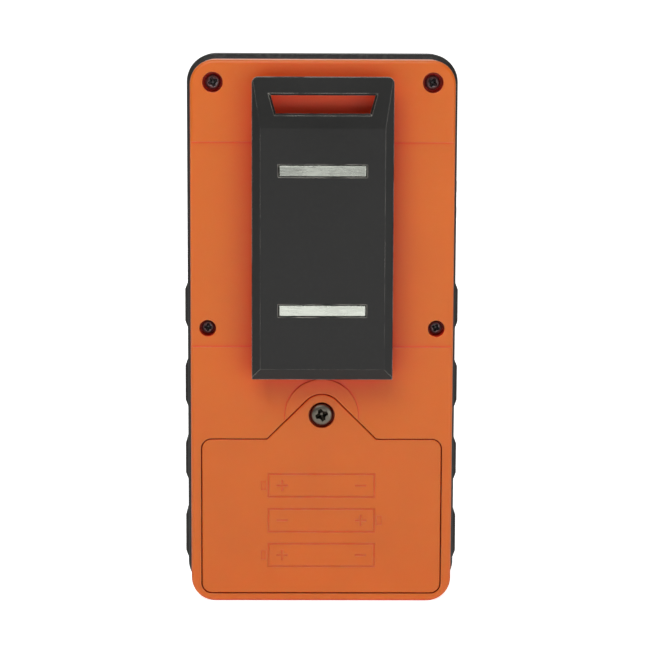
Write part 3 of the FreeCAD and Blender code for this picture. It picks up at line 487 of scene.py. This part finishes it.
# node groups for what repeats: pieces set on points, and wound or bent wire

def newGeometryGroup(name, inputs):
    group = bpy.data.node_groups.new(name, "GeometryNodeTree")
    group.interface.new_socket("Geometry", in_out="INPUT", socket_type="NodeSocketGeometry")
    for label, kind, value in inputs:
        socket = group.interface.new_socket(label, in_out="INPUT", socket_type=kind)
        if value is not None:
            socket.default_value = value
    group.interface.new_socket("Geometry", in_out="OUTPUT", socket_type="NodeSocketGeometry")
    return group, addNode(group, "NodeGroupInput"), addNode(group, "NodeGroupOutput")


def endGroup(group, given, result, geometry):
    real = addNode(group, "GeometryNodeRealizeInstances", Geometry=geometry)
    painted = addNode(group, "GeometryNodeSetMaterial", Geometry=real.outputs[0],
                      Material=given.outputs["Finish"])
    plug(group, result, "Geometry", painted.outputs[0])


def makeSpreadGroup():
    group, given, result = newGeometryGroup("setOnPoints", [
        ("Piece", "NodeSocketObject", None), ("Finish", "NodeSocketMaterial", None),
        ("Low Turn", "NodeSocketVector", (0.0, 0.0, 0.0)), ("High Turn", "NodeSocketVector", (0.0, 0.0, 0.0)),
        ("Seed", "NodeSocketInt", 1)])
    source = addNode(group, "GeometryNodeObjectInfo", Object=given.outputs["Piece"])
    turn = addNode(group, "FunctionNodeRandomValue", {"data_type": "FLOAT_VECTOR"},
                   n0=given.outputs["Low Turn"], n1=given.outputs["High Turn"], Seed=given.outputs["Seed"])
    spread = addNode(group, "GeometryNodeInstanceOnPoints", Points=given.outputs["Geometry"],
                     Instance=source.outputs["Geometry"], Rotation=turn.outputs[0])
    endGroup(group, given, result, spread.outputs[0])
    return group


def makeCoilGroup():
    group, given, result = newGeometryGroup("woundWire", [
        ("Finish", "NodeSocketMaterial", None), ("Turns", "NodeSocketFloat", 4.0),
        ("Start Radius", "NodeSocketFloat", 0.003), ("End Radius", "NodeSocketFloat", 0.003),
        ("Length", "NodeSocketFloat", 0.004), ("Wire", "NodeSocketFloat", 0.0003)])
    spiral = addNode(group, "GeometryNodeCurveSpiral", Resolution=28, Rotations=given.outputs["Turns"],
                     Start_Radius=given.outputs["Start Radius"], End_Radius=given.outputs["End Radius"],
                     Height=given.outputs["Length"])
    ring = addNode(group, "GeometryNodeCurvePrimitiveCircle", Resolution=12, Radius=given.outputs["Wire"])
    tube = addNode(group, "GeometryNodeCurveToMesh", Curve=spiral.outputs[0],
                   Profile_Curve=ring.outputs[0], Fill_Caps=True)
    endGroup(group, given, result, tube.outputs[0])
    return group


def makeWireGroup():
    group, given, result = newGeometryGroup("bentWire", [
        ("Finish", "NodeSocketMaterial", None), ("Wire", "NodeSocketFloat", 0.0003),
        ("Bend", "NodeSocketFloat", 0.001)])
    path = addNode(group, "GeometryNodeMeshToCurve", Mesh=given.outputs["Geometry"])
    eased = addNode(group, "GeometryNodeFilletCurve", Curve=path.outputs[0], Radius=given.outputs["Bend"])
    for socket in eased.inputs:
        if socket.name == "Count":
            socket.default_value = 6
    ring = addNode(group, "GeometryNodeCurvePrimitiveCircle", Resolution=14, Radius=given.outputs["Wire"])
    tube = addNode(group, "GeometryNodeCurveToMesh", Curve=eased.outputs[0],
                   Profile_Curve=ring.outputs[0], Fill_Caps=True)
    endGroup(group, given, result, tube.outputs[0])
    return group


spreadGroup, coilGroup, wireGroup = makeSpreadGroup(), makeCoilGroup(), makeWireGroup()


def grown(name, group, corners, edges=(), **inputs):
    # runs a geometry group on a mesh of points and gives back one plain object
    mesh = bpy.data.meshes.new(name)
    mesh.from_pydata([[value * mm for value in corner] for corner in corners], edges, [])
    worker = newObject(name + "Worker", mesh)
    modifier = worker.modifiers.new("grow", "NODES")
    modifier.node_group = group
    sockets = {item.name: item.identifier for item in group.interface.items_tree if item.in_out == "INPUT"}
    for label, value in inputs.items():
        modifier[sockets[label.replace("_", " ")]] = value
    bpy.context.view_layer.update()
    made = settled(worker, name)
    for face in made.data.polygons:
        face.use_smooth = True
    made.data.set_sharp_from_angle(angle=sharpAngle)
    return made


def spread(name, mesh, spots, material, low=(0.0, 0.0, 0.0), high=(0.0, 0.0, 0.0), seed=1):
    source = newObject(name + "Source", mesh)
    made = grown(name, spreadGroup, spots, Piece=source, Finish=material, Low_Turn=low, High_Turn=high,
                 Seed=seed)
    bpy.data.objects.remove(source)
    return made


def wound(name, material, settings, start, end):
    return grown(name, coilGroup, [(0, 0, 0)], Finish=material, Turns=settings["turns"],
                 Start_Radius=start * mm, End_Radius=end * mm, Length=settings["length"] * mm,
                 Wire=settings["wire"] * mm)


def bent(name, material, path, wire, bend):
    steps = [(step, step + 1) for step in range(len(path) - 1)]
    return grown(name, wireGroup, path, steps, Finish=material, Wire=wire * mm, Bend=bend * mm)


# screws: pan head, cross recess and a threaded shank, head top at 0 and the point towards -Y

def screwMesh(name, settings):
    head, tall, shank, long = settings["head"], settings["tall"], settings["shank"], settings["long"]
    profile = [(0, 0), (head * 0.55, -0.01), (head * 0.8, -0.07 * tall), (head * 0.95, -0.22 * tall),
               (head, -0.42 * tall), (head, -0.9 * tall), (head * 0.96, -tall), (shank, -tall)]
    threads = int((long - tall - 1.0) / settings["pitch"])
    for number in range(threads):
        start = -tall - 0.3 - number * settings["pitch"]
        profile += [(shank * 0.78, start), (shank, start - 0.45 * settings["pitch"]),
                    (shank, start - 0.55 * settings["pitch"])]
    profile += [(shank * 0.75, -long + 0.45), (shank * 0.4, -long), (0, -long)]
    body = turned(name, profile, settings["sides"])
    layers = [(0.3, 0.0), (-0.25 * settings["deep"] * tall, 0.05), (-settings["deep"] * tall, 0.8)]
    cross = crossOutline(head * settings["arm"], head * settings["thin"])
    return cutBy(body, stacked(name + "Cross", cross, layers), name)


caseScrews = {
    "upper": {"head": 1.75, "tall": 1.5, "long": 13.0, "spot": (26.1, 7.1, 125.7), "seed": 8},
    "middle": {"head": 1.5, "tall": 1.5, "long": 13.0, "spot": (27.4, 7.1, 67.0), "seed": 9},
    "lower": {"head": 1.9, "tall": 1.2, "long": 9.0, "spot": (18.0, -3.55, 15.05), "seed": 8},
}
caseScrewShared = {"shank": 1.1, "pitch": 0.75, "sides": 36, "arm": 0.68, "thin": 0.19, "deep": 0.8,
                   "turn": 0.6}
for row, sizes in caseScrews.items():
    sizes = dict(caseScrewShared, **sizes)
    across, along, up = sizes["spot"]
    piece = spread("caseScrews" + row.capitalize(), takeMesh(screwMesh(row + "Screw", sizes)),
                   [(across, along, up), (-across, along, up)], finishes["black_screws"],
                   (0.0, -sizes["turn"], 0.0), (0.0, sizes["turn"], 0.0), sizes["seed"])
    finishPiece(piece, "housing", "black_screws", ["case_screws_" + row])

doorScrew = {"head": 2.75, "tall": 1.88, "shank": 1.5, "long": 11.15, "pitch": 0.8, "sides": 48,
             "arm": 0.56, "thin": 0.16, "deep": 0.85, "top": (0.0, 9.15, 45.95), "turn": 0.35}
holder = screwMesh("doorScrew", doorScrew)
holder.data.transform(shift(doorScrew["top"]) @ Matrix.Rotation(doorScrew["turn"], 4, "Y"))
finishPiece(holder, "thumbscrew", "steel_screw", ["door_screw"])
print("screws made")

# springs and leads of bent wire

clipSpring = {"length": 10.2, "turns": 10.0, "round": 1.75, "wire": 0.35, "bend": 1.0,
              "hinge": (11.6, 110.0), "caseLegY": 9.5, "caseLegEnd": 98.0}
hingeY, hingeZ = clipSpring["hinge"]
endX, startZ = clipSpring["length"] / 2, hingeZ - clipSpring["round"]
shellPath = [(-endX, hingeY, startZ), (-endX, clipSpring["caseLegY"], hingeZ - 3.4),
             (-endX, clipSpring["caseLegY"], clipSpring["caseLegEnd"])]
clipPath = [(endX, hingeY, startZ), (endX, hingeY + 1.6, hingeZ - 0.8),
            (endX, hingeY + 2.6, hingeZ + 2.5), (endX, hingeY + 2.6, hingeZ + 6.5)]
wireSteel = finishes["spring_steel"]
coil = wound("clipCoil", wireSteel, clipSpring, clipSpring["round"], clipSpring["round"])
shellLeg = bent("shellLeg", wireSteel, shellPath, clipSpring["wire"], clipSpring["bend"])
clipLeg = bent("clipLeg", wireSteel, clipPath, clipSpring["wire"], clipSpring["bend"])
lay = shift((-endX, hingeY, hingeZ)) @ Matrix.Rotation(math.radians(90), 4, "Y")
spring = newObject("clipSpring", merged("clipSpring", [(takeMesh(coil), lay), (takeMesh(shellLeg), None),
                                                       (takeMesh(clipLeg), None)]))
finishPiece(spring, None, "spring_steel", ["clip_spring"])
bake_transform(spring)

cellSpots = (9.4, 20.7, 32.0)
cellY = 1.95
contactSpring = {"turns": 4.0, "wide": 3.0, "narrow": 2.1, "wire": 0.3, "length": 4.4, "plate": 24.5}
for number, up in enumerate(cellSpots):
    # the middle cell lies the other way round
    facing = 1 if number == 1 else -1
    coil = wound("contactSpring", finishes["contacts"], contactSpring, contactSpring["wide"],
                 contactSpring["narrow"])
    coil.name = f"contactSpring{number + 1}"
    coil.data.transform(shift((facing * contactSpring["plate"], cellY, up))
                        @ Matrix.Rotation(math.radians(-90 * facing), 4, "Y"))
    finishPiece(coil, "housing", "contacts", [f"contact_spring_{number + 1}"])

leads = {
    "positive": {"side": 1, "z": cellSpots[0], "slot": "lead_red"},
    "negative": {"side": -1, "z": cellSpots[2], "slot": "lead_black"},
}
leadShared = {"wire": 0.4, "bend": 1.2, "plate": 24.45, "run": 21.5, "floor": -5.75, "start": -2.2,
              "end": 42.5}
for name, lead in leads.items():
    plateX, runX = lead["side"] * leadShared["plate"], lead["side"] * leadShared["run"]
    path = [(plateX, leadShared["start"], lead["z"]), (plateX, leadShared["floor"], lead["z"]),
            (runX, leadShared["floor"], lead["z"] + 3), (runX, leadShared["floor"], leadShared["end"])]
    piece = bent(f"lead{name.capitalize()}", finishes[lead["slot"]], path, leadShared["wire"],
                 leadShared["bend"])
    finishPiece(piece, "housing", lead["slot"], ["lead_" + name])
print("springs and leads made")

# battery cells: wrapped can, bare ends and a nub

cell = {"round": 5.25, "long": 44.5, "nub": 1.0, "nubRound": 2.7, "tip": 24.9}
radius, nubRound, nub = cell["round"], cell["nubRound"], cell["nub"]
low = nub - cell["long"]
nubEnd = [(0, nub), (nubRound - 0.45, nub), (nubRound - 0.12, nub - 0.12), (nubRound, nub - 0.4),
          (nubRound, -0.08)]
wrap = [(4.1, -0.08), (4.3, 0.0), (4.75, 0.0), (5.1, -0.15), (radius, -0.5), (radius, -2.2),
        (radius - 0.1, -2.5), (radius - 0.1, -2.9), (radius, -3.2), (radius, low + 0.5), (5.1, low + 0.15),
        (4.75, low)]
flatEnd = [(4.4, low), (4.35, low + 0.15), (0, low + 0.15)]
# material 0 is the printed wrap and 1 the bare metal, one for each step of the profile
cellBands = [1] * 5 + [0] * 12 + [1] * 2
for number, up in enumerate(cellSpots):
    facing = -1 if number == 1 else 1
    mesh = turned(f"batteryCell{number + 1}", nubEnd + wrap + flatEnd, 48, cellBands)
    mesh.transform(shift((facing * (cell["tip"] - nub), cellY, up))
                   @ Matrix.Rotation(math.radians(-90 * facing), 4, "Z"))
    piece = newObject(f"batteryCell{number + 1}", mesh)
    finishPiece(piece, "housing", "cell", [f"battery_cell_{number + 1}"],
                [finishes["cell"], finishes["contacts"]])
print("cells made")

# lamp: packages with phosphor, the clear window and its small lenses

lamp = {"pitch": 11.0, "middle": 76.0, "side": 2.8, "board": -9.0, "tall": 0.6, "lensY": -14.77,
        "rows": 6, "columns": 4}
ledSpots = [((column - (lamp["columns"] - 1) / 2) * lamp["pitch"], lamp["board"],
             lamp["middle"] + (row - (lamp["rows"] - 1) / 2) * lamp["pitch"])
            for row in range(lamp["rows"]) for column in range(lamp["columns"])]
packageOutline = roundedOutline(lamp["side"], lamp["side"], 0.25, steps=3)
package = stacked("ledPackage", packageOutline, [
    (0.0, 0.0), (-lamp["tall"] + 0.08, 0.0), (-lamp["tall"], 0.08), (-lamp["tall"], 0.4), (-0.35, 0.62)])
phosphor = turned("phosphor", [(0, -0.38), (0.7, -0.42), (0.88, -0.36), (0.88, -0.34), (0, -0.34)], 24)
domeSpots = [(across, lamp["lensY"], up) for across, _, up in ledSpots]
dome = turned("lensDome", [(0, 0.62), (1.2, 0.57), (2.4, 0.42), (3.4, 0.22), (4.2, 0.0), (0, 0.0)], 40)
lampPieces = {
    "ledPackages": (package, ledSpots, "led", "led", ["led_array"]),
    "ledPhosphors": (phosphor, ledSpots, "led", "phosphor", []),
    "windowLenses": (dome, domeSpots, "clear_lens", "clear_lens", []),
}
for name, (mesh, spots, slotName, finish, replaced) in lampPieces.items():
    piece = spread(name, mesh, spots, finishes[finish])
    finishPiece(piece, "housing", slotName, replaced, [finishes[finish]])
window = {"wide": 46.6, "tall": 69.6, "corner": 3.8}
windowOutline = roundedOutline(window["wide"], window["tall"], window["corner"], (0.0, lamp["middle"]))
windowMesh = stacked("lensWindow", windowOutline, [
    (-14.8, 0.15), (-14.95, 0.0), (-15.8, 0.0), (-16.1, 0.12), (-16.2, 0.5), (-16.2, 1.7), (-16.12, 1.9)])
finishPiece(newObject("lensWindow", windowMesh), "housing", "clear_lens", ["lens_panel"])
print("lamp made")

# parts on the driver board: blocks, two cans and a row of small parts, with legs and end caps

board = {"top": -6.2, "legPitch": 0.8, "legs": (0.6, 0.3), "legReach": 0.3, "smallZ": 61.45,
         "smallCount": 12, "smallPitch": 3.4, "smallStart": -19.2, "smallReach": 0.62}
# middle, width and length, height, corner radius; the first block has no legs
blocks = [((-16, 96), (8, 8), 4.2, 1.4), ((11, 99), (4.8, 6), 1.4, 0.25),
          ((-3.5, 86), (3.8, 4), 1.2, 0.25), ((16, 78), (6.6, 4), 2.2, 0.4)]
# middle, radius, height
cans = [((-14, 80), 3.2, 7.0), ((6, 78), 2.5, 5.5)]
boardMeshes = []
for middlePoint, (wide, tall), high, corner in blocks:
    outline = roundedOutline(wide, tall, corner, middlePoint, 4)
    layers = [(board["top"], 0.0), (board["top"] + high - 0.15, 0.05), (board["top"] + high, 0.2)]
    boardMeshes.append((stacked("block", outline, layers), None))
for (across, up), radius, high in cans:
    profile = [(0, 0), (radius, 0), (radius, 0.7), (radius - 0.25, 0.95), (radius - 0.25, 1.1),
               (radius, 1.4), (radius, high - 0.4), (radius - 0.3, high - 0.05), (radius - 0.6, high),
               (radius - 0.75, high - 0.15), (0, high - 0.15)]
    boardMeshes.append((turned("can", profile, 32), shift((across, board["top"], up))))
smallSpots = [(board["smallStart"] + board["smallPitch"] * number, board["top"], board["smallZ"])
              for number in range(board["smallCount"])]
smallOutline = roundedOutline(1.0, 0.8, 0.06, (0.0, 0.0), 1)
boardMeshes += [(stacked("small", smallOutline, [(0.0, 0.0), (0.6, 0.0), (0.65, 0.05)]), shift(spot))
                for spot in smallSpots]
parts = newObject("boardParts", merged("boardParts", boardMeshes))
finishPiece(parts, "housing", "chips", ["board_components"])
legSpots = []
for (across, up), (wide, tall), _, _ in blocks[1:]:
    for number in range(int((tall - 0.6) / board["legPitch"]) + 1):
        height = up - tall / 2 + 0.5 + number * board["legPitch"]
        legSpots += [(across + side * (wide / 2 + board["legReach"]), board["top"], height)
                     for side in (-1, 1)]
for across, along, up in smallSpots:
    legSpots += [(across + side * board["smallReach"], along, up) for side in (-1, 1)]
legOutline = roundedOutline(*board["legs"], 0.06, (0.0, 0.0), 1)
leg = stacked("leg", legOutline, [(0.0, 0.0), (0.4, 0.0), (0.45, 0.06)])
finishPiece(spread("boardLegs", leg, legSpots, finishes["contacts"]), "housing", "contacts")
print("board parts made")

# power button: dished cap with a ring-and-bar mark and a ring of dots

key = {"z": 24.0, "markY": -16.2, "markRound": 2.3, "markStart": -235, "markSweep": 290,
       "markSteps": 28, "wire": 0.28, "bend": 0.1, "dots": 16, "dotsRound": 4.6, "dotsY": -16.22}
profile = [(0, -16.1), (3.0, -16.15), (5.2, -16.3), (6.1, -16.55), (6.5, -16.6), (6.95, -16.45),
           (7.2, -16.05), (7.2, -13.25), (8.3, -13.25), (8.5, -13.1), (8.5, -12.55), (8.35, -12.4),
           (2.0, -12.4), (2.0, -12.32), (0, -12.32)]
cap = turned("powerKey", profile, 64)
ringPath = []
for step in range(key["markSteps"] + 1):
    turn = math.radians(key["markStart"] + key["markSweep"] * step / key["markSteps"])
    ringPath.append((key["markRound"] * math.cos(turn), key["markY"], key["markRound"] * math.sin(turn)))
barPath = [(0, key["markY"], 0.9), (0, -16.25, 3.1)]
ringMark = bent("ringMark", finishes["button"], ringPath, key["wire"], key["bend"])
barMark = bent("barMark", finishes["button"], barPath, key["wire"], key["bend"])
lift = shift((0, 0, key["z"]))
keyMeshes = [(cap, lift), (takeMesh(ringMark), lift), (takeMesh(barMark), lift)]
finishPiece(newObject("powerKey", merged("powerKey", keyMeshes)), "power_key", "button", ["power_button"])
dot = turned("keyDot", [(0, -0.22), (0.16, -0.18), (0.26, 0.0), (0, 0.12)], 14)
dotSpots = [(key["dotsRound"] * math.cos(2 * math.pi * step / key["dots"]), key["dotsY"],
             key["z"] + key["dotsRound"] * math.sin(2 * math.pi * step / key["dots"]))
            for step in range(key["dots"])]
finishPiece(spread("keyDots", dot, dotSpots, finishes["button"]), "power_key", "button")
print("power button made")

# studio: pale sweep, soft lights and the camera

# in metres; lift is the sweep's brightness seen by the camera and glow its light on the object
studio = {"floor": (250, 250, 250), "floorWide": 3.0, "front": 1.4, "back": -0.9, "bend": 0.45,
          "bendSteps": 12, "high": 1.8, "world": 0.06, "lift": 0.92, "glow": 0.29}


def makeSweep(settings):
    profile = [(settings["front"], 0.0), (settings["back"], 0.0)]
    for step in range(1, settings["bendSteps"] + 1):
        turn = math.radians(90 * step / settings["bendSteps"])
        profile.append((settings["back"] - settings["bend"] * math.sin(turn),
                        settings["bend"] * (1 - math.cos(turn))))
    profile.append((profile[-1][0], settings["high"]))
    half = settings["floorWide"] / 2
    corners = [(side * half, along, up) for along, up in profile for side in (-1, 1)]
    faces = [(2 * i, 2 * i + 1, 2 * i + 3, 2 * i + 2) for i in range(len(profile) - 1)]
    mesh = bpy.data.meshes.new("sweep")
    mesh.from_pydata(corners, [], faces)
    for face in mesh.polygons:
        face.use_smooth = True
    material, tree, shader = newMaterial("paleSweep")
    place = addNode(tree, "ShaderNodeTexCoord").outputs["Object"]
    paper = addNode(tree, "ShaderNodeTexNoise", Vector=place, Scale=40.0, Detail=3.0)
    tint = mixColour(tree, paper.outputs[0], rgba(settings["floor"], 0.985), rgba(settings["floor"]))
    plug(tree, shader, "Base Color", tint)
    shader.inputs["Roughness"].default_value = 0.9
    shader.inputs["Specular IOR Level"].default_value = 0.1
    shader.inputs["Emission Color"].default_value = (1.0, 1.0, 1.0, 1.0)
    # brighter straight from the camera than as a source of light
    sight = addNode(tree, "ShaderNodeLightPath").outputs["Is Camera Ray"]
    plug(tree, shader, "Emission Strength",
         stretch(tree, sight, 0.0, 1.0, settings["glow"], settings["lift"]))
    mesh.materials.append(material)
    newObject("sweep", mesh)


def addLight(name, place, aim, wide, tall, power):
    data = bpy.data.lights.new(name, "AREA")
    data.shape = "RECTANGLE"
    data.size, data.size_y, data.energy = wide, tall, power
    light = newObject(name, data)
    light.location = place
    light.rotation_euler = (Vector(aim) - Vector(place)).to_track_quat("-Z", "Y").to_euler()


def addCamera(settings):
    turn = (Matrix.Rotation(settings["yaw"], 3, "Z") @ Matrix.Rotation(settings["pitch"], 3, "X")
            @ Matrix.Rotation(settings["roll"], 3, "Y"))
    right, up, back = turn @ Vector((-1, 0, 0)), turn @ Vector((0, 0, 1)), turn @ Vector((0, 1, 0))
    data = bpy.data.cameras.new("camera")
    data.sensor_width = settings["sensor"]
    data.lens = settings["lens"]
    camera = newObject("camera", data)
    camera.matrix_world = shift(settings["place"]) @ Matrix((right, up, back)).transposed().to_4x4()
    bpy.context.scene.camera = camera


makeSweep(studio)
middle = (0.0, 0.0, 0.066)
# where it is, what it points at, width, height, watts
lights = {
    "keyLight": ((0.22, 0.64, 0.78), middle, 0.65, 0.5, 4.1),
    "fillLight": ((-0.55, 0.80, 0.10), middle, 0.5, 0.3, 1.2),
    "topLight": ((-0.10, 0.30, 0.95), middle, 0.7, 0.5, 1.8),
    "floorCard": ((0.0, 0.5, 0.004), (0.0, 0.5, 1.0), 0.9, 0.3, 1.0),
    "frontLamp": ((0.2, -0.9, 0.5), middle, 0.8, 0.6, 2.0),
}
for name, light in lights.items():
    addLight(name, *light)
world = bpy.data.worlds.new("softRoom")
world.use_nodes = True
backdrop = world.node_tree.nodes["Background"]
backdrop.inputs["Color"].default_value = (1.0, 1.0, 1.0, 1.0)
sight = addNode(world.node_tree, "ShaderNodeLightPath").outputs["Is Camera Ray"]
plug(world.node_tree, backdrop, "Strength", stretch(world.node_tree, sight, 0.0, 1.0, studio["world"], 1.0))
bpy.context.scene.world = world
bpy.context.scene.view_settings.view_transform = "Standard"
# place in millimetres, turns in radians
addCamera({"place": (5.0, 553.4593, 141.5211), "pitch": 0.1345, "yaw": -0.0105, "roll": 0.0038,
           "sensor": 36.0, "lens": 126.92})
print("studio ready")
